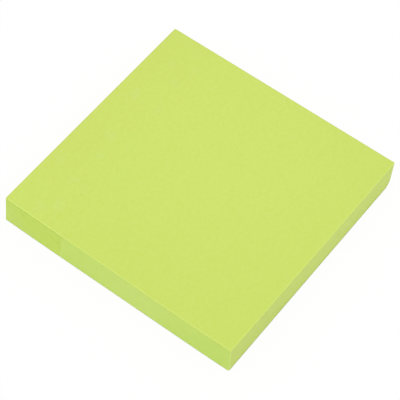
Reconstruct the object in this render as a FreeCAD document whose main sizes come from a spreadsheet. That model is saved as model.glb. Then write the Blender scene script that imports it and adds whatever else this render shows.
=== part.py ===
import FreeCAD, Part
import os

import Sketcher

# A sticky note pad: a square block of notes on a backing sheet, lying flat.
# The notes were coated with a band of low-tack glue along one edge, stacked and cut together, so the
# four sides are flush. The glued band holds the stack as one block. On the other three sides the
# notes only lie on each other, and a fine slit parts each note from the next.
# The backing sheet covers the glue of the lowest note.
# X runs along the glued edge, +Y points to the glued edge, +Z is up.
# The origin is the middle of the base.

SIZES = {
    "note_width": 76.0,  # along the glued edge
    "note_length": 76.0,  # from the free edge to the glued edge
    "note_count": 100,
    "note_thickness": 0.09,
    "glue_thickness": 0.014,  # of the film between two notes, which is also how wide the slits are
    "glue_band": 19.0,  # how far the glue reaches in from the glued edge
    "slit_depth": 0.6,  # how far the slits are open, measured from the cut sides
    "backing_thickness": 0.12,
}

# Places and distances that the pieces share, as expressions of the sizes.
SIDE = "sizes.note_width / 2"
END = "sizes.note_length / 2"
GLUE_LINE = f"{END} - sizes.glue_band"
PITCH = "(sizes.note_thickness + sizes.glue_thickness)"


def make_size_sheet(doc):
    """The spreadsheet that every piece takes its sizes from, with one name and one value in each row."""
    sheet = doc.addObject("Spreadsheet::Sheet", "sizes")
    for row, (name, value) in enumerate(SIZES.items(), start=1):
        sheet.set(f"A{row}", name)
        sheet.set(f"B{row}", str(value))
        sheet.setAlias(f"B{row}", name)
    doc.recompute()
    return sheet


def make_body(doc, name):
    body = doc.addObject("PartDesign::Body", name)
    body.Label = name
    return body


def origin_feature(body, role):
    """One of the body's own origin planes or axes, such as XY_Plane."""
    return next(feature for feature in body.Origin.OriginFeatures if feature.Role == role)


def outline_sketch(body, name, lines):
    """A closed outline on the body's XY plane, whose lines run along X and along Y by turns.
    lines gives the name of each line, starting with one along X, and where the line is: the Y of a
    line along X, or the X of a line along Y."""
    sketch = body.newObject("Sketcher::SketchObject", name)
    sketch.AttachmentSupport = (origin_feature(body, "XY_Plane"), [""])
    sketch.MapMode = "FlatFace"

    places = [sketch.evalExpression(place) for place in lines.values()]
    corners = []
    for index, place in enumerate(places):
        last_place = places[index - 1]
        x, y = (last_place, place) if index % 2 == 0 else (place, last_place)
        corners.append(FreeCAD.Vector(x, y, 0))
    for start, end in zip(corners, corners[1:] + corners[:1]):
        sketch.addGeometry(Part.LineSegment(start, end), False)

    for index, (line_name, place) in enumerate(lines.items()):
        next_line = (index + 1) % len(lines)
        direction, distance = ("Horizontal", "DistanceY") if index % 2 == 0 else ("Vertical", "DistanceX")
        sketch.addConstraint(Sketcher.Constraint("Coincident", index, 2, next_line, 1))
        sketch.addConstraint(Sketcher.Constraint(direction, index))
        number = sketch.addConstraint(Sketcher.Constraint(distance, -1, 1, index, 1, places[index]))
        sketch.renameConstraint(number, line_name)
        sketch.setExpression(f"Constraints.{line_name}", place)
    return sketch


def make_slab(body, thickness):
    """A slab of the outline that the notes and the backing were cut to."""
    lines = {"front": f"-{END}", "right": SIDE, "back": END, "left": f"-{SIDE}"}
    slab = body.newObject("PartDesign::Pad", f"{body.Name}_slab")
    slab.Profile = outline_sketch(body, f"{body.Name}_outline", lines)
    slab.setExpression("Length", thickness)
    return slab


def make_lowest_slit(body):
    """The slit between the two lowest notes: a band along the three unglued sides, which ends at the
    glue and is cut from as far outside the sides as it reaches inside them."""
    lines = {
        "outer_front": f"-{END} - sizes.slit_depth",
        "outer_right": f"{SIDE} + sizes.slit_depth",
        "right_end": GLUE_LINE,
        "inner_right": f"{SIDE} - sizes.slit_depth",
        "inner_front": f"-{END} + sizes.slit_depth",
        "inner_left": f"-{SIDE} + sizes.slit_depth",
        "left_end": GLUE_LINE,
        "outer_left": f"-{SIDE} - sizes.slit_depth",
    }
    outline = outline_sketch(body, "slit_outline", lines)
    outline.setExpression("AttachmentOffset.Base.z", "sizes.note_thickness")
    slit = body.newObject("PartDesign::Pocket", "lowest_slit")
    slit.Profile = outline
    slit.Reversed = True
    slit.setExpression("Length", "sizes.glue_thickness")
    return slit


def make_note_block(doc):
    """All the notes as one solid, held together by the glued band."""
    body = make_body(doc, "note_block")
    make_slab(body, f"sizes.note_count * {PITCH} - sizes.glue_thickness")
    lowest_slit = make_lowest_slit(body)
    doc.recompute()
    slits = body.newObject("PartDesign::LinearPattern", "slits")
    slits.Originals = [lowest_slit]
    slits.Direction = (origin_feature(body, "Z_Axis"), [""])
    slits.setExpression("Length", f"(sizes.note_count - 2) * {PITCH}")
    slits.setExpression("Occurrences", "sizes.note_count - 1")
    body.Tip = slits
    body.setExpression("Placement.Base.z", "sizes.backing_thickness")
    return body


def make_backing_sheet(doc):
    """The sheet under the lowest note, cut with the stack."""
    body = make_body(doc, "backing_sheet")
    body.Tip = make_slab(body, "sizes.backing_thickness")
    return body


def check_and_export(doc, pieces, folder):
    """Stops on any object that failed, then writes one STEP file for each piece."""
    for item in doc.Objects:
        if "Invalid" in item.State or "Error" in item.State:
            raise RuntimeError(f"{item.Name} failed: {item.State}")
    for piece in pieces:
        shape = piece.Shape
        if shape.isNull() or not shape.isValid() or len(shape.Solids) != 1:
            raise RuntimeError(f"{piece.Label} isn't one valid solid")
    os.makedirs(folder, exist_ok=True)
    for piece in pieces:
        piece.Shape.exportStep(os.path.join(folder, f"{piece.Label}.step"))


def main():
    doc = FreeCAD.newDocument("sticky_note_pad")
    make_size_sheet(doc)
    pieces = [make_note_block(doc), make_backing_sheet(doc)]
    doc.recompute()
    check_and_export(doc, pieces, "parts")


main()
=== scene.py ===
import math
from collections import namedtuple

import bpy
import numpy as np
from mathutils import Matrix, Vector


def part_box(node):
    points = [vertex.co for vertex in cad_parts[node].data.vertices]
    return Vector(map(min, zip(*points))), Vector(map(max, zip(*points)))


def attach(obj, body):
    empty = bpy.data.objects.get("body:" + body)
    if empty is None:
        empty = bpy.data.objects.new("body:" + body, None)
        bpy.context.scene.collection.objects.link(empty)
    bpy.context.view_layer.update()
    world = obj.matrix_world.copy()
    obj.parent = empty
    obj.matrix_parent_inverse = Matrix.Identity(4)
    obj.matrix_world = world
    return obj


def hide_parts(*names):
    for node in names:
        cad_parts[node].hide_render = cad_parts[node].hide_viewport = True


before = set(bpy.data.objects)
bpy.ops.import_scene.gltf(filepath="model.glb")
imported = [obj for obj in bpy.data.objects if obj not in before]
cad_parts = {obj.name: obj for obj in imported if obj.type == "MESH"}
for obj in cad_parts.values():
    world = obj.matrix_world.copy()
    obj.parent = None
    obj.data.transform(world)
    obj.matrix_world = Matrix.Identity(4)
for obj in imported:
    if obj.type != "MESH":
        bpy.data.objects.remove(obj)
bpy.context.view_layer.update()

# The looks of a sticky note pad: a block of lime green notes, each with its own cut edge, on a thin
# release sheet. X runs along the glued edge, +Y points to it, and +Z is up. Lengths are in metres.
MM = 0.001
X, Y, Z = range(3)
SEED = 11

BLOCK_LOW, BLOCK_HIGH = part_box("note_block")
HALF = BLOCK_HIGH.x  # half the side of the square notes
TOP = BLOCK_HIGH.z
BACKING = BLOCK_LOW.z  # thickness of the release sheet
NOTE_COUNT = 100
GLUE_BAND = 19 * MM
GLUE_LINE = BLOCK_HIGH.y - GLUE_BAND  # the glued band lies beyond this Y
SLIT = 0.014 * MM  # the usual opening between two notes, away from the glue
PITCH = (TOP - BACKING + SLIT) / NOTE_COUNT  # from each note to the next

# The pad's corners, in the order that its outline passes them. The knife left the stack a little out
# of square: an offset is how far a corner lies from the true square, at the base and at the top.
# Radii are larger where handling has blunted a corner. All are in millimetres.
Corner = namedtuple("Corner", "signs base_offset top_offset base_radius top_radius")
CORNERS = (
    Corner((1, -1), (0.29, 0.05), (0.30, -0.09), 1.8, 0.3),
    Corner((1, 1), (0, 0), (-0.11, 0.09), 0.3, 0.46),
    Corner((-1, 1), (-0.02, 0.21), (0.18, -0.12), 0.05, 0.18),
    Corner((-1, -1), (-0.01, 0.05), (-0.03, 0.13), 0.5, 0.25),
)
BLUNT_POWER = 12  # the higher, the nearer to the base the blunting of a corner stays
ARC_STEPS = 5
SIDE_STEPS = 30

# How far the cut sides bow out, in millimetres: at the middle of a side, what is added from its one
# end to the other, and what is added towards both ends.
LEFT_BOW_BASE = (0.14, 0.0, 0.86)
LEFT_BOW_TOP = (0.18, 0.46, 0.89)
FRONT_BOW_TOP = (0.07, 0.15, 0.18)
BOW_POWER = 4  # the higher, the nearer to its own side a bow stays

# The notes' edges.
FACE, EDGE = 0, 1  # the notes' two materials
SLIT_DEPTH = 0.04 * MM  # how deep the gap between two notes can be seen into
GLUED_DEPTH = 0.02 * MM  # the same in the glued band
GLUED_SLIT = 0.35  # how wide a slit is in the glued band, as a share of its width elsewhere
GLUE_BLUR = 1 * MM  # how far these two take to change, on each side of the glue line
SLIT_SPREAD = 0.14  # how much a slit's width varies along it, as a share
SPREAD_POINTS = 24  # places around the pad where that width is drawn anew

# The top note's face.
RIM_RADIUS = 0.04 * MM
RIM_STEPS = 3
FACE_INSETS = (0.25, 0.6, 1.2, 2, 3.5, *range(6, 37, 3))  # of its rings, in millimetres
SWELL = 0.02 * MM  # its gentle unevenness
SWELL_INSET = 6  # how far in from the edges it is in full, in millimetres
WAVE_X = 9 * MM
WAVE_Y = 7 * MM
WAVE_START = 1

# Camera, as fitted to the pad's edges in the photo.
CAMERA_PLACE = (-240.03 * MM, -154.44 * MM, 421.45 * MM)
CAMERA_AIM = (-2.464 * MM, -1.517 * MM, 5.253 * MM)
CAMERA_ROLL = math.radians(-4.977)
CAMERA_LENS = 164.89
CAMERA_SENSOR = 36.0
CAMERA_CLIP = (0.01, 20.0)

# Light. The sky and the sun together light a level white surface to 1.
SKY = 0.68
SUN_SHARE = 1 - SKY
SUN_DIRECTION = (0.35, 0.25, -1.0)
SUN_ANGLE = math.radians(70)
WHITE = (1.0, 1.0, 1.0)
FLOOR_COLOR = (0.9, 0.9, 0.9)
FLOOR_GLOW = 0.93  # share of plain white in how the floor looks
FLOOR_HALF = 3.0

# Colours, as linear red, green and blue. A tint is what a colour is multiplied by, and a reach is
# where a change starts and where it is full.
FACE_GREEN = (0.6365, 0.7755, 0.1769)
RIM_GREEN = (0.680, 0.838, 0.203)  # the top note's edge where it catches the light
# The next two greens are one cut paper, paler than the faces. Each has a tone set for how the light falls
# on its sides: painted light and shade.
SIDE_GREEN = (0.646, 0.822, 0.212)  # the glued side and the two that run up to it
FREE_SIDE_LIT_GREEN = (0.667, 0.789, 0.2475)  # the side at the free edge, in a tone set for how the light falls on it: painted light
CORNER_HIGHLIGHT_GREEN = (0.73, 0.93, 0.28)  # painted highlight on the free left corner, where its rounding faces the light
BACKING_WHITE = (0.72, 0.72, 0.70)
BACKING_EDGE_SHADE_GREY = (0.36, 0.36, 0.36)  # the release sheet's cut edge, painted grey for the shade at the pad's foot

# A round patch, which is full within its radius and fades out over its blur.
Spot = namedtuple("Spot", "place radius blur")

# Reaches in the values of noise, which turn it into patches with soft or clear borders.
FAINT = (0.3, 0.7)
SOFT = (0.35, 0.65)
CLEAR = (0.4, 0.6)
SIMPLE = {"detail": 1.0, "roughness": 0.5}  # for noise without finer parts

# The paper of the top note.
FIBRES = (((0.25, 1.0, 1.0), 0.12 * MM), ((1.0, 0.3, 1.0), 0.14 * MM))  # how stretched and how fine
FIBRE_REACH = (0.8, 1.25)
FIBRE_TINT = (0.98, 0.984, 0.925)
CLOUD_SIZE = 1.3 * MM
DEEP_CLOUD_TINT = (0.988, 0.992, 0.937)
PALE_CLOUD_TINT = (1.012, 1.008, 1.067)
DYE_SIZE = 0.3 * MM  # of the grain that an uneven yellow dye gives
DYE_TINT = (1.0, 1.0, 0.82)
SPECK_SPACING = 7 * MM
SPECK_REACH = (0.035, 0.015)  # as shares of the spacing
SPECK_TINT = (0.90, 0.93, 0.80)

# The top's broad changes, among them a painted pool of light around its middle.
# Painted light: the top is lit most around this middle and is darker away from it.
POOL_OF_LIGHT = Spot((13 * MM, 4 * MM, TOP), 12 * MM, 50 * MM)
OUTSIDE_POOL_TINT = (0.970, 0.975, 0.930)  # away from the middle
BACK_Y_REACH = (18 * MM, 34 * MM)
BACK_X_REACH = (-38 * MM, -18 * MM)
BACK_TINT = (0.998, 0.986, 0.995)
RIGHT_REACH = (18 * MM, 34 * MM)  # in X
RIGHT_TINT = (0.993, 0.993, 0.999)
BRIGHT_CORNER = Spot((-HALF, HALF, TOP), 8 * MM, 26 * MM)
BRIGHT_TINT = (1.014, 1.013, 1.04)
BROAD_SIZE = 6 * MM
BROAD_TINT = (0.998, 0.992, 0.975)
MOTTLE_SIZE = 1 * MM
MOTTLE_REACH = (GLUE_LINE - 3 * MM, GLUE_LINE + 1 * MM)  # in Y
WARM_TINT = (1.0065, 0.993, 1.0)
COOL_TINT = (0.9935, 1.007, 1.0)

# The top note's edges, which catch the light on the two sides beside the free left corner.
RIM_REACH = (0.32 * MM, 0.22 * MM)  # in from the outline
RIM_TURN = (-0.5 * MM, 0.5 * MM)  # across the line between the lit edges and the dim ones
RIM_GLUE_REACH = (GLUE_LINE - 8 * MM, GLUE_LINE + 4 * MM)  # in Y
RIM_FREE_SHARE = 0.6  # how lit the edges are away from the glue
DIM_TINT = (0.975, 0.92, 0.87)

# The glued side and the two that run up to it, in Y unless said otherwise. A slant is how far a reach
# moves towards the free edge, as a share of the height. Noise adds half its depth on the whole, which
# the reaches after it allow for.
PALE_BAND = (10 * MM, -3 * MM, -11 * MM, -21 * MM)  # where it starts, is full, fades and ends
PALE_TINT = (1.014, 1.004, 1.105)
FREE_END_SLANT = 0.85
FREE_END_REACH = (-11 * MM, -28 * MM)
FREE_END_TINT = (0.957, 0.979, 0.930)
RAGGED_SIZE = 2.2 * MM
RAGGED_DEPTH = 2.4 * MM
LEAN_REACH = (3 * MM, 5 * MM)  # in Z
GLUE_LEAN = 0.7 * MM  # how much farther the glue reaches high up than at the foot
GLUED_REACH = (GLUE_LINE + 0.9 * MM, GLUE_LINE + 1.5 * MM)
GLUED_TINT = (0.955, 0.954, 0.778)
SOAKED_SIZE = 0.9 * MM
SOAKED_TINT = (0.984, 0.988, 0.955)
MARGIN_SLANT = -1.1
MARGIN_DEPTH = 16 * MM
MARGIN_REACH = (33 * MM, 39 * MM)
MARGIN_TINT = (1.013, 1.003, 1.18)
SEAM_REACH = (TOP - 1.2 * MM, TOP - 0.4 * MM)  # in Z
SEAM_TINT = (0.942, 0.952, 0.92)
SOILED = Spot((-HALF, 21 * MM, 6.7 * MM), 0.6 * MM, 2.4 * MM)
SOILED_TINT = (1.0, 1.0, 0.935)

# The free edge.
LEFTWARD_REACH = (20 * MM, -38 * MM)  # in X
LEFTWARD_TINT = (0.967, 0.971, 0.954)
LOWER_REACH = (6 * MM, 1 * MM)  # in Z
LOWER_TINT = (0.986, 0.988, 0.935)
# Painted shade at the foot of the free side, where it meets the floor.
FOOT_REACH = (0.9 * MM, 0.4 * MM)  # in Z
FOOT_SHADE_TINT = (0.865, 0.845, 0.86)
# Painted shade where the blunt corner turns away from the light.
BLUNT_REACH = (2 * HALF - 0.9 * MM, 2 * HALF - 0.4 * MM)  # in X less Y
BLUNT_CORNER_SHADE_TINT = (0.93, 0.97, 0.86)

# All the cut sides.
TURNED = (-0.5, -0.8)  # the outward direction's X on the left side, or its Y on the free one
SHADED_REACH = (TOP - 2.2 * MM, TOP - 0.6 * MM)  # in Z
SHADED_TINT = (0.998, 0.998, 0.93)
STREAK_LENGTH = 7 * MM
STREAK_STEP = 0.6  # how far the streaks' noise moves on from each note to the next
STREAK_TINT = (0.99, 0.992, 0.98)
EDGE_DYE_SIZE = 0.5 * MM
EDGE_DYE_TINT = (1.0, 1.0, 0.84)
PATCH_SIZE = 3 * MM
PATCH_TINT = (0.988, 0.991, 0.965)
# Where the painted highlight on the free left corner reaches, and how strong it is.
CORNER_HIGHLIGHT_REACH = (-0.1, -0.5)  # in the larger of the outward direction's X and Y
CORNER_HIGHLIGHT_SHARE = 0.4  # of the corner's highlight green

# The release sheet.
SHEET_PATCH_SIZE = 4 * MM
SHEET_TINT = (0.95, 0.95, 0.95)
# Where the painted shade on the release sheet's cut edge begins.
SHEET_EDGE_REACH = (0.1 * BACKING, 0.2 * BACKING)  # in Z

# Scuffs, as where each starts and ends and how wide it is, in millimetres.
Scuff = namedtuple("Scuff", "start end width")
SCUFF_CORE = 0.3  # share of the width that is full
SCUFF_END = 0.6  # how long each end takes to fade, in millimetres
SIDE_SCUFFS = (  # on the left side, in Y and Z
    Scuff((22.6, 6.9), (19.3, 6.2), 0.27),
    Scuff((19.5, 6.9), (18.6, 3.0), 0.35),
    Scuff((33.3, 8.4), (30.8, 7.9), 0.45),
    Scuff((29.2, 8.3), (27.6, 8.3), 0.36),
)
SIDE_WOBBLE = 2 * MM
KNOT_SIZE = 0.7 * MM  # of the noise that breaks them up
KNOT_REACH = (0.3, 0.55)
SCUFF_TINT = (0.865, 0.905, 0.78)
TOP_CREASE = Scuff((-31.5, 23.6), (-35.0, 22.7), 0.35)  # in X and Y
CREASE_WOBBLE = 1.5 * MM
CREASE_TINT = (0.985, 0.985, 0.90)

# Other marks on the top.
DOT = Spot((-24.2 * MM, 22.5 * MM, TOP), 0.1 * MM, 0.2 * MM)
DOT_TINT = (0.82, 0.85, 0.62)
BLOTCHES = (  # over the glue, as X, Y and strength, in millimetres
    (-34.0, 29.0, 0.85),
    (-30.5, 25.0, 1.0),
    (-21.5, 27.5, 0.5),
    (-18.5, 35.0, 0.6),
    (-10.5, 26.5, 0.55),
    (-3.5, 29.0, 1.0),
    (12.0, 32.5, 0.8),
    (22.0, 26.0, 0.75),
    (11.5, 23.5, 0.5),
    (-23.0, 23.5, 0.45),
    (27.0, 31.5, 0.37),
    (29.0, 24.0, 0.38),
)
BLOTCH_RADIUS = 0.8 * MM
BLOTCH_BLUR = 1.7 * MM
BLOTCH_REACH = (0.35, 0.5)  # in the clouds' values, which break the blotches up
BLOTCH_TINT = (1.003, 1.007, 1.18)

# The papers' finish: how rough they are at the least and the most, how high their fibres stand and
# how glossy they are.
Finish = namedtuple("Finish", "smooth rough height gloss")
FACE_FINISH = Finish(0.78, 0.92, 0.006 * MM, 0.25)
EDGE_FINISH = Finish(0.82, 0.95, 0.005 * MM, 0.2)
SHEET_FINISH = Finish(0.50, 0.62, 0.003 * MM, 0.4)
FIBRE_SPAN = (0.6, 1.4)  # of the values of most fibres
BUMP_STRENGTH = 0.6


def smooth_step(start, end, value):
    """0 before start, 1 after end, and a smooth rise between them."""
    share = np.clip((value - start) / (end - start), 0, 1)
    return share * share * (3 - 2 * share)


def radii_at(height):
    """Corner radii at a height, given as a share of the pad's own."""
    blunt = (1 - height) ** BLUNT_POWER
    changes = [(corner.base_radius - corner.top_radius) * blunt for corner in CORNERS]
    return [(corner.top_radius + change) * MM for corner, change in zip(CORNERS, changes)]


def outline(radii, inset=0.0):
    """Points of the square outline with these corner radii, and the outward direction at each."""
    half = HALF - inset
    arcs = []
    for index, (corner, radius) in enumerate(zip(CORNERS, radii)):
        radius = max(radius - inset, RIM_RADIUS)
        angles = math.radians(90) * (index - 1 + np.linspace(0, 1, ARC_STEPS + 1))
        directions = np.column_stack([np.cos(angles), np.sin(angles)])
        arcs.append((np.array(corner.signs) * (half - radius) + radius * directions, directions))
    points, outward = [], []
    for (arc, directions), (next_arc, _) in zip(arcs, arcs[1:] + arcs[:1]):
        share = np.linspace(0, 1, SIDE_STEPS + 1)[1:-1, None]
        points += [arc, arc[-1] * (1 - share) + next_arc[0] * share]
        outward += [directions, np.repeat(directions[-1:], SIDE_STEPS - 1, axis=0)]
    return np.concatenate(points), np.concatenate(outward)


def bow(share, terms):
    """How far a side bows out at a share of its length."""
    middle, slope, ends = terms
    off_middle = share - 0.5
    return 4 * share * (1 - share) * (middle + slope * off_middle + ends * off_middle ** 2) * MM


def shape_stack(points):
    """Moves points of the true square block to where the hand-cut stack has them."""
    across, along = points[:, X] / HALF, points[:, Y] / HALF
    height = np.clip(points[:, Z:] / TOP, 0, 1)
    shaped = points.copy()
    for corner in CORNERS:
        weight = (1 + corner.signs[X] * across) * (1 + corner.signs[Y] * along) / 4
        base, top = np.array(corner.base_offset), np.array(corner.top_offset)
        shaped[:, :Z] += weight[:, None] * (base + (top - base) * height) * MM
    height = height[:, 0]
    to_right, to_front = np.clip((1 + across) / 2, 0, 1), np.clip((1 - along) / 2, 0, 1)
    left = bow(to_front, LEFT_BOW_BASE) * (1 - height) + bow(to_front, LEFT_BOW_TOP) * height
    front = bow(to_right, FRONT_BOW_TOP) * height
    shaped[:, X] -= left * (1 - to_right) ** BOW_POWER
    shaped[:, Y] -= front * to_front ** BOW_POWER
    return shaped


def slit_spread(random, count):
    """What a slit's width is multiplied by at each of count points around the pad."""
    knots = 1 + SLIT_SPREAD * np.clip(random.normal(size=SPREAD_POINTS), -2, 2)
    places = np.linspace(0, SPREAD_POINTS, count, endpoint=False)
    return np.interp(places, np.arange(SPREAD_POINTS + 1), np.append(knots, knots[0]))


class Skin:
    """A closed skin made of rings of points, from the bottom up. Each ring has its outward directions,
    the number of the note that starts there, the material of that stretch, and how far it lies in from
    the outline."""

    def __init__(self):
        self.rings, self.facings, self.notes, self.materials, self.insets = [], [], [], [], []

    def add(self, plan, z, outward, note=0, material=0, inset=0.0):
        self.rings.append(shape_stack(np.column_stack([plan, np.broadcast_to(z, len(plan))])))
        self.facings.append(np.column_stack([outward, np.zeros(len(plan))]))
        self.notes.append(note)
        self.materials.append(material)
        self.insets.append(inset)

    def make(self, name, materials):
        count = len(self.rings[0])
        faces = [tuple(reversed(range(count)))]
        for start in range(0, count * (len(self.rings) - 1), count):
            for index in range(count):
                after = (index + 1) % count
                faces.append((start + index, start + after, start + count + after, start + count + index))
        last = count * (len(self.rings) - 1)
        faces.append(tuple(range(last, last + count)))

        mesh = bpy.data.meshes.new(name)
        mesh.from_pydata(np.concatenate(self.rings).tolist(), [], faces)
        for material in materials:
            mesh.materials.append(material)
        slots = [0, *np.repeat(self.materials[:-1], count).tolist(), 0]
        mesh.polygons.foreach_set("material_index", slots)
        numbers = [0, *np.repeat(self.notes[:-1], count).tolist(), self.notes[-1]]
        mesh.attributes.new("note", "FLOAT", "FACE").data.foreach_set("value", numbers)
        insets = np.repeat(self.insets, count).tolist()
        mesh.attributes.new("inset", "FLOAT", "POINT").data.foreach_set("value", insets)
        facings = np.concatenate(self.facings).ravel().tolist()
        mesh.attributes.new("facing", "FLOAT_VECTOR", "POINT").data.foreach_set("vector", facings)
        mesh.update()
        piece = bpy.data.objects.new(name, mesh)
        bpy.context.scene.collection.objects.link(piece)
        return piece


def make_notes(materials):
    """The notes as one closed skin: edge and slit by turns up the stack, then the top note's face."""
    random = np.random.RandomState(SEED)
    skin = Skin()
    top_note = NOTE_COUNT - 1
    for note in range(NOTE_COUNT):
        plan, outward = outline(radii_at((note + 0.5) / NOTE_COUNT))
        free = 1 - smooth_step(GLUE_LINE - GLUE_BLUR, GLUE_LINE + GLUE_BLUR, plan[:, Y])
        opening = SLIT * (GLUED_SLIT + (1 - GLUED_SLIT) * free) * slit_spread(random, len(plan))
        low = BACKING + note * PITCH
        skin.add(plan, low, outward, note, EDGE)
        if note < top_note:
            high = low + PITCH - opening
            depth = GLUED_DEPTH + (SLIT_DEPTH - GLUED_DEPTH) * free
            skin.add(plan, high, outward, note, FACE)
            skin.add(plan - outward * depth[:, None], high + opening / 2, outward, note, FACE)

    for angle in np.linspace(0, math.radians(90), RIM_STEPS + 1):
        inset = RIM_RADIUS * (1 - math.cos(angle))
        z = TOP - RIM_RADIUS * (1 - math.sin(angle))
        skin.add(plan - outward * inset, z, outward, top_note, FACE, inset)
    for inset in FACE_INSETS:
        plan, outward = outline(radii_at(1), inset * MM)
        waves = np.sin(plan[:, X] / WAVE_X + WAVE_START) * np.sin(plan[:, Y] / WAVE_Y)
        z = TOP - SWELL * (1 - waves) * smooth_step(0, SWELL_INSET, inset)
        skin.add(plan, z, outward, top_note, FACE, inset * MM)
    return skin.make("notes", materials)


def make_backing(material):
    """The release sheet, cut with the stack."""
    skin = Skin()
    plan, outward = outline(radii_at(0))
    skin.add(plan, 0, outward)
    skin.add(plan, BACKING, outward)
    return skin.make("backing", [material])


def add_node(tree, kind, inputs, **settings):
    """A shader node with its settings, and with each input set to a value or linked to a socket."""
    made = tree.nodes.new(kind)
    for name, value in settings.items():
        setattr(made, name, value)
    for name, value in inputs.items():
        if isinstance(value, bpy.types.NodeSocket):
            tree.links.new(value, made.inputs[name])
        elif isinstance(value, tuple) and made.inputs[name].type == "RGBA":
            made.inputs[name].default_value = (*value, 1)
        else:
            made.inputs[name].default_value = value
    return made


def maths(tree, operation, first, second=0.0):
    return add_node(tree, "ShaderNodeMath", {0: first, 1: second}, operation=operation).outputs[0]


def times(tree, first, second):
    return maths(tree, "MULTIPLY", first, second)


def plus(tree, value, other, factor):
    """The value plus factor times the other."""
    return maths(tree, "ADD", value, times(tree, other, factor))


def fade(tree, value, start, end):
    """0 at start, 1 at end, smooth between them; start may be the larger."""
    inputs = {"Value": value, "From Min": start, "From Max": end}
    made = add_node(tree, "ShaderNodeMapRange", inputs, interpolation_type="SMOOTHSTEP")
    return made.outputs["Result"]


def band(tree, value, start, full_start, full_end, end):
    """1 from full_start to full_end, with smooth falls to 0 at start and at end."""
    return maths(tree, "MINIMUM", fade(tree, value, start, full_start), fade(tree, value, end, full_end))


def spot(tree, place, shape):
    """1 within the radius of a Spot, and a smooth fall to 0 over its blur."""
    inputs = {0: place, 1: shape.place}
    distance = add_node(tree, "ShaderNodeVectorMath", inputs, operation="DISTANCE").outputs["Value"]
    return fade(tree, distance, shape.radius + shape.blur, shape.radius)


def mix(tree, share, first, second):
    """A colour that goes from first to second as share goes from 0 to 1."""
    return add_node(tree, "ShaderNodeMix", {0: share, 6: first, 7: second}, data_type="RGBA").outputs[2]


def tint(tree, color, share, factor):
    """The colour, multiplied by factor where share is 1."""
    inputs = {0: share, 6: color, 7: factor}
    return add_node(tree, "ShaderNodeMix", inputs, data_type="RGBA", blend_type="MULTIPLY").outputs[2]


def tint_along(tree, color, value, reach, factor):
    """The colour, multiplied by factor where the value has passed its reach."""
    return tint(tree, color, fade(tree, value, *reach), factor)


def noise(tree, place, size, detail=3.0, roughness=0.6):
    """Noise from 0 to 1 whose patches are about size across."""
    inputs = {"Vector": place, "Scale": 1 / size, "Detail": detail, "Roughness": roughness}
    return add_node(tree, "ShaderNodeTexNoise", inputs).outputs["Fac"]


def patches(tree, place, size, reach=SOFT, **details):
    """Patches from 0 to 1, about size across. The closer the reach, the sharper their borders."""
    return fade(tree, noise(tree, place, size, **details), *reach)


def grain(tree, place, size):
    """Fine simple patches, for a dye that the fibres take up unevenly."""
    return patches(tree, place, size, **SIMPLE)


def wobble(tree, value, depth):
    """Turns noise from 0 to 1 into a shift to either side of 0."""
    return times(tree, maths(tree, "SUBTRACT", value, 0.5), depth)


def attribute(tree, name, output="Fac"):
    return add_node(tree, "ShaderNodeAttribute", {}, attribute_name=name).outputs[output]


def split(tree, vector):
    """The vector's X, Y and Z."""
    return add_node(tree, "ShaderNodeSeparateXYZ", {0: vector}).outputs


def empty_material(name):
    """A material and its tree, without nodes."""
    material = bpy.data.materials.new(name)
    material.use_nodes = True
    material.node_tree.nodes.clear()
    return material, material.node_tree


def places(tree):
    """The place on the object that is shaded, as a vector and as its X, Y and Z."""
    place = add_node(tree, "ShaderNodeTexCoord", {}).outputs["Object"]
    return place, split(tree, place)


def fibres(tree, place):
    """Felted paper fibres: two crossing sets of fine streaks, from 0 to 2."""
    sets = []
    for factors, size in FIBRES:
        stretched = add_node(tree, "ShaderNodeVectorMath", {0: place, 1: factors}, operation="MULTIPLY")
        sets.append(noise(tree, stretched.outputs[0], size, **SIMPLE))
    return maths(tree, "ADD", *sets)


def finish_paper(tree, color, fine, finish):
    """The paper's shader, from its colour, its fibres and its Finish."""
    inputs = {
        "Value": fine,
        "From Min": FIBRE_SPAN[0],
        "From Max": FIBRE_SPAN[1],
        "To Min": finish.smooth,
        "To Max": finish.rough,
    }
    rough = add_node(tree, "ShaderNodeMapRange", inputs).outputs["Result"]
    inputs = {"Height": fine, "Strength": BUMP_STRENGTH, "Distance": finish.height}
    bump = add_node(tree, "ShaderNodeBump", inputs)
    inputs = {
        "Base Color": color,
        "Roughness": rough,
        "Normal": bump.outputs["Normal"],
        "Specular IOR Level": finish.gloss,
    }
    shader = add_node(tree, "ShaderNodeBsdfPrincipled", inputs)
    add_node(tree, "ShaderNodeOutputMaterial", {"Surface": shader.outputs[0]})


def scuff(tree, across, up, shift, mark):
    """1 on the wobbly line of a Scuff, and 0 away from it. The line lies in the plane of two axes."""
    length = math.dist(mark.start, mark.end)
    run, rise = (mark.end[0] - mark.start[0]) / length, (mark.end[1] - mark.start[1]) / length
    first = maths(tree, "SUBTRACT", across, (mark.start[0] + mark.end[0]) / 2 * MM)
    second = maths(tree, "SUBTRACT", up, (mark.start[1] + mark.end[1]) / 2 * MM)
    along = maths(tree, "ABSOLUTE", plus(tree, times(tree, first, run), second, rise))
    aside = plus(tree, times(tree, second, run), first, -rise)
    aside = maths(tree, "ABSOLUTE", maths(tree, "ADD", aside, shift))
    beside = fade(tree, aside, mark.width * MM, SCUFF_CORE * mark.width * MM)
    between = fade(tree, along, length / 2 * MM, (length / 2 - SCUFF_END) * MM)
    return times(tree, beside, between)


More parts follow.
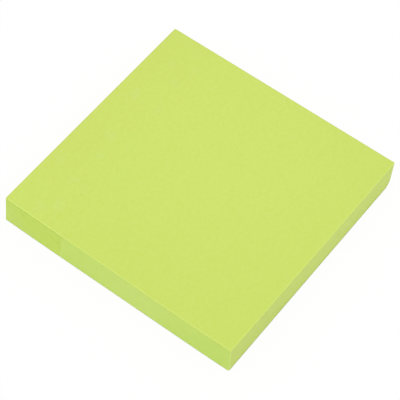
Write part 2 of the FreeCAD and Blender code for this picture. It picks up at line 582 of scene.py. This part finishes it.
def shade_top(tree, place, axes, color):
    """The colour with the top's broad changes, among them a painted pool of light around the middle, and
    with a warm and cool mottle over the glue.
    """
    # Painted shade away from the lit middle of the top.
    away = maths(tree, "SUBTRACT", 1.0, spot(tree, place, POOL_OF_LIGHT))
    color = tint(tree, color, away, OUTSIDE_POOL_TINT)
    back = times(tree, fade(tree, axes[Y], *BACK_Y_REACH), fade(tree, axes[X], *BACK_X_REACH))
    color = tint(tree, color, back, BACK_TINT)
    color = tint_along(tree, color, axes[X], RIGHT_REACH, RIGHT_TINT)
    color = tint(tree, color, spot(tree, place, BRIGHT_CORNER), BRIGHT_TINT)
    color = tint(tree, color, patches(tree, place, BROAD_SIZE), BROAD_TINT)
    mottle = mix(tree, patches(tree, place, MOTTLE_SIZE, CLEAR), COOL_TINT, WARM_TINT)
    return tint_along(tree, color, axes[Y], MOTTLE_REACH, mottle)


def mark_top(tree, place, axes, clouds, color):
    """The colour with the top's pale blotches, its dark dot and its crease."""
    shown = fade(tree, clouds, *BLOTCH_REACH)
    for x, y, strength in BLOTCHES:
        blotch = spot(tree, place, Spot((x * MM, y * MM, TOP), BLOTCH_RADIUS, BLOTCH_BLUR))
        color = tint(tree, color, times(tree, blotch, times(tree, shown, strength)), BLOTCH_TINT)
    color = tint(tree, color, spot(tree, place, DOT), DOT_TINT)
    shift = wobble(tree, clouds, CREASE_WOBBLE)
    return tint(tree, color, scuff(tree, axes[X], axes[Y], shift, TOP_CREASE), CREASE_TINT)


def light_rim(tree, axes, color):
    """The colour with the top note's edges: lit beside the free left corner, and dim elsewhere."""
    top_note = fade(tree, attribute(tree, "note"), NOTE_COUNT - 2, NOTE_COUNT - 1)
    rim = times(tree, top_note, fade(tree, attribute(tree, "inset"), *RIM_REACH))
    back_and_right = maths(tree, "MAXIMUM", axes[X], axes[Y])
    front_and_left = times(tree, maths(tree, "MINIMUM", axes[X], axes[Y]), -1.0)
    lit = fade(tree, maths(tree, "SUBTRACT", front_and_left, back_and_right), *RIM_TURN)
    strength = plus(tree, RIM_FREE_SHARE, fade(tree, axes[Y], *RIM_GLUE_REACH), 1 - RIM_FREE_SHARE)
    color = mix(tree, times(tree, times(tree, rim, lit), strength), color, RIM_GREEN)
    return tint(tree, color, times(tree, rim, maths(tree, "SUBTRACT", 1.0, lit)), DIM_TINT)


def note_face_material():
    """Uncoated lime green paper: cloudy, with a fine grain, fibres and a few specks. It has the broad
    changes of colour, among them a painted pool of light, the marks that the top note shows, and
    that note's lit edges."""
    material, tree = empty_material("note_paper_face")
    place, axes = places(tree)
    clouds = noise(tree, place, CLOUD_SIZE, roughness=0.65)
    fine = fibres(tree, place)
    cloudy = mix(tree, fade(tree, clouds, *SOFT), DEEP_CLOUD_TINT, PALE_CLOUD_TINT)
    color = tint(tree, FACE_GREEN, 1.0, cloudy)
    color = tint_along(tree, color, fine, FIBRE_REACH, FIBRE_TINT)
    color = tint(tree, color, grain(tree, place, DYE_SIZE), DYE_TINT)
    specks = add_node(tree, "ShaderNodeTexVoronoi", {"Vector": place, "Scale": 1 / SPECK_SPACING})
    color = tint_along(tree, color, specks.outputs["Distance"], SPECK_REACH, SPECK_TINT)
    color = shade_top(tree, place, axes, color)
    color = mark_top(tree, place, axes, clouds, color)
    color = light_rim(tree, axes, color)
    finish_paper(tree, color, fine, FACE_FINISH)
    return material


def long_side_color(tree, place, axes, facing):
    """The glued side and the two that run up to it. These are paler in the middle, deeper towards the
    free edge, and deeper where they are glued, from a ragged line on. They have paler patches beside
    the glued side, and the left one is soiled and scuffed."""
    color = tint(tree, SIDE_GREEN, band(tree, axes[Y], *PALE_BAND), PALE_TINT)
    from_free_end = plus(tree, axes[Y], axes[Z], FREE_END_SLANT)
    color = tint_along(tree, color, from_free_end, FREE_END_REACH, FREE_END_TINT)

    ragged = noise(tree, place, RAGGED_SIZE)
    past_line = plus(tree, axes[Y], ragged, RAGGED_DEPTH)
    past_line = plus(tree, past_line, fade(tree, axes[Z], *LEAN_REACH), GLUE_LEAN)
    glued = fade(tree, past_line, *GLUED_REACH)
    color = tint(tree, color, glued, GLUED_TINT)
    color = tint(tree, color, times(tree, patches(tree, place, SOAKED_SIZE), glued), SOAKED_TINT)
    to_foot = plus(tree, axes[Y], axes[Z], MARGIN_SLANT)
    color = tint_along(tree, color, plus(tree, to_foot, ragged, MARGIN_DEPTH), MARGIN_REACH, MARGIN_TINT)
    color = tint(tree, color, times(tree, fade(tree, axes[Z], *SEAM_REACH), glued), SEAM_TINT)

    color = tint(tree, color, spot(tree, place, SOILED), SOILED_TINT)
    shift = wobble(tree, ragged, SIDE_WOBBLE)
    knots = patches(tree, place, KNOT_SIZE, KNOT_REACH, **SIMPLE)
    on_left = times(tree, knots, fade(tree, facing[X], *TURNED))
    for mark in SIDE_SCUFFS:
        line = scuff(tree, axes[Y], axes[Z], shift, mark)
        color = tint(tree, color, times(tree, line, on_left), SCUFF_TINT)
    return color


def free_side_color(tree, axes):
    """The cut side at the free edge, in a green set for how the light falls on it: a little deeper to the
    left and lower down, with painted shade at its foot and at the blunt corner, where it turns away
    from the light."""
    color = tint_along(tree, FREE_SIDE_LIT_GREEN, axes[X], LEFTWARD_REACH, LEFTWARD_TINT)
    color = tint_along(tree, color, axes[Z], LOWER_REACH, LOWER_TINT)
    # Painted shade at the foot.
    color = tint_along(tree, color, axes[Z], FOOT_REACH, FOOT_SHADE_TINT)
    to_blunt = maths(tree, "SUBTRACT", axes[X], axes[Y])
    # Painted shade at the blunt corner.
    return tint_along(tree, color, to_blunt, BLUNT_REACH, BLUNT_CORNER_SHADE_TINT)


def streaks(tree, axes):
    """Faint streaks along the sides, which change from note to note."""
    inputs = {
        "X": times(tree, axes[X], 1 / STREAK_LENGTH),
        "Y": times(tree, axes[Y], 1 / STREAK_LENGTH),
        "Z": times(tree, attribute(tree, "note"), STREAK_STEP),
    }
    streak_place = add_node(tree, "ShaderNodeCombineXYZ", inputs).outputs[0]
    return patches(tree, streak_place, 1.0, FAINT, detail=2.0)


def note_edge_material():
    """The cut faces of the stack: paler than the notes' faces, each side in a green set for how the
    light falls on it, shaded under the top note's edge, with faint streaks, a fine grain and soft
    patches, and a painted highlight at the free left corner, where its rounding faces the light."""
    material, tree = empty_material("note_paper_edge")
    place, axes = places(tree)
    facing = split(tree, attribute(tree, "facing", "Vector"))
    long_side = long_side_color(tree, place, axes, facing)
    # Each side keeps its own green for how the light falls on it: painted light.
    color = mix(tree, fade(tree, facing[Y], *TURNED), long_side, free_side_color(tree, axes))
    color = tint_along(tree, color, axes[Z], SHADED_REACH, SHADED_TINT)
    color = tint(tree, color, streaks(tree, axes), STREAK_TINT)
    color = tint(tree, color, grain(tree, place, EDGE_DYE_SIZE), EDGE_DYE_TINT)
    color = tint(tree, color, patches(tree, place, PATCH_SIZE), PATCH_TINT)
    # Painted highlight on the free left corner, where its rounding faces the light.
    corner_highlight = fade(tree, maths(tree, "MAXIMUM", facing[X], facing[Y]), *CORNER_HIGHLIGHT_REACH)
    color = mix(tree, times(tree, corner_highlight, CORNER_HIGHLIGHT_SHARE), color, CORNER_HIGHLIGHT_GREEN)
    finish_paper(tree, color, fibres(tree, place), EDGE_FINISH)
    return material


def backing_material():
    """Smooth off-white release paper, faintly cloudy, with its cut edge painted grey for the shade at the
    pad's foot.
    """
    material, tree = empty_material("backing_paper")
    place, axes = places(tree)
    color = tint(tree, BACKING_WHITE, patches(tree, place, SHEET_PATCH_SIZE), SHEET_TINT)
    # Painted shade: the cut edge is grey for the shade at the pad's foot.
    color = mix(tree, fade(tree, axes[Z], *SHEET_EDGE_REACH), color, BACKING_EDGE_SHADE_GREY)
    finish_paper(tree, color, fibres(tree, place), SHEET_FINISH)
    return material


def seen_directly(tree):
    """1 for what the camera sees, also by way of a mirror or through glass, and 0 for light."""
    path = add_node(tree, "ShaderNodeLightPath", {}).outputs
    seen = maths(tree, "MAXIMUM", path["Is Camera Ray"], path["Is Glossy Ray"])
    return maths(tree, "MAXIMUM", seen, path["Is Transmission Ray"])


def make_floor():
    """A plain white floor that shows the pad's soft shadow and otherwise looks white."""
    mesh = bpy.data.meshes.new("floor")
    corners = [(sx * FLOOR_HALF, sy * FLOOR_HALF, 0) for sx, sy in ((-1, -1), (1, -1), (1, 1), (-1, 1))]
    mesh.from_pydata(corners, [], [(0, 1, 2, 3)])
    floor = bpy.data.objects.new("floor", mesh)
    bpy.context.scene.collection.objects.link(floor)
    material, tree = empty_material("floor")
    seen = seen_directly(tree)
    diffuse = add_node(tree, "ShaderNodeBsdfDiffuse", {"Color": mix(tree, seen, FLOOR_COLOR, WHITE)})
    glow = add_node(tree, "ShaderNodeEmission", {"Color": WHITE, "Strength": 1.0})
    share = times(tree, seen, FLOOR_GLOW)
    shader = add_node(tree, "ShaderNodeMixShader", {0: share, 1: diffuse.outputs[0], 2: glow.outputs[0]})
    add_node(tree, "ShaderNodeOutputMaterial", {"Surface": shader.outputs[0]})
    mesh.materials.append(material)


def make_sky():
    """An even white sky, and white wherever it is seen."""
    world = bpy.data.worlds.new("sky")
    bpy.context.scene.world = world
    world.use_nodes = True
    tree = world.node_tree
    tree.nodes.clear()
    inputs = {"Value": seen_directly(tree), "To Min": SKY, "To Max": 1.0}
    strength = add_node(tree, "ShaderNodeMapRange", inputs).outputs["Result"]
    sky = add_node(tree, "ShaderNodeBackground", {"Color": WHITE, "Strength": strength})
    add_node(tree, "ShaderNodeOutputWorld", {"Surface": sky.outputs[0]})


def make_sun():
    """A very soft main light from above, a little from the camera's side."""
    direction = Vector(SUN_DIRECTION).normalized()
    lamp = bpy.data.lights.new("sun", "SUN")
    lamp.energy = SUN_SHARE * math.pi / -direction.z
    lamp.angle = SUN_ANGLE
    sun = bpy.data.objects.new("sun", lamp)
    sun.rotation_mode = "QUATERNION"
    sun.rotation_quaternion = direction.to_track_quat("-Z", "Y")
    bpy.context.scene.collection.objects.link(sun)


def make_camera():
    """The photo's camera: it looks down at the pad over the free left corner, with a slight roll."""
    place = Vector(CAMERA_PLACE)
    forward = (Vector(CAMERA_AIM) - place).normalized()
    level = forward.cross(Vector((0, 0, 1))).normalized()
    down = forward.cross(level)
    right = math.cos(CAMERA_ROLL) * level + math.sin(CAMERA_ROLL) * down
    up = right.cross(forward)
    lens = bpy.data.cameras.new("camera")
    lens.lens = CAMERA_LENS
    lens.sensor_width = CAMERA_SENSOR
    lens.clip_start, lens.clip_end = CAMERA_CLIP
    camera = bpy.data.objects.new("camera", lens)
    rotation = Matrix((right, up, -forward)).transposed()
    camera.matrix_world = Matrix.Translation(place) @ rotation.to_4x4()
    bpy.context.scene.collection.objects.link(camera)
    bpy.context.scene.camera = camera


notes_piece = make_notes([note_face_material(), note_edge_material()])
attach(notes_piece, "root")
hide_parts("note_block")

backing_piece = make_backing(backing_material())
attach(backing_piece, "root")
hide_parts("backing_sheet")

make_floor()
make_sky()
make_sun()
make_camera()
bpy.context.scene.view_settings.view_transform = "Standard"
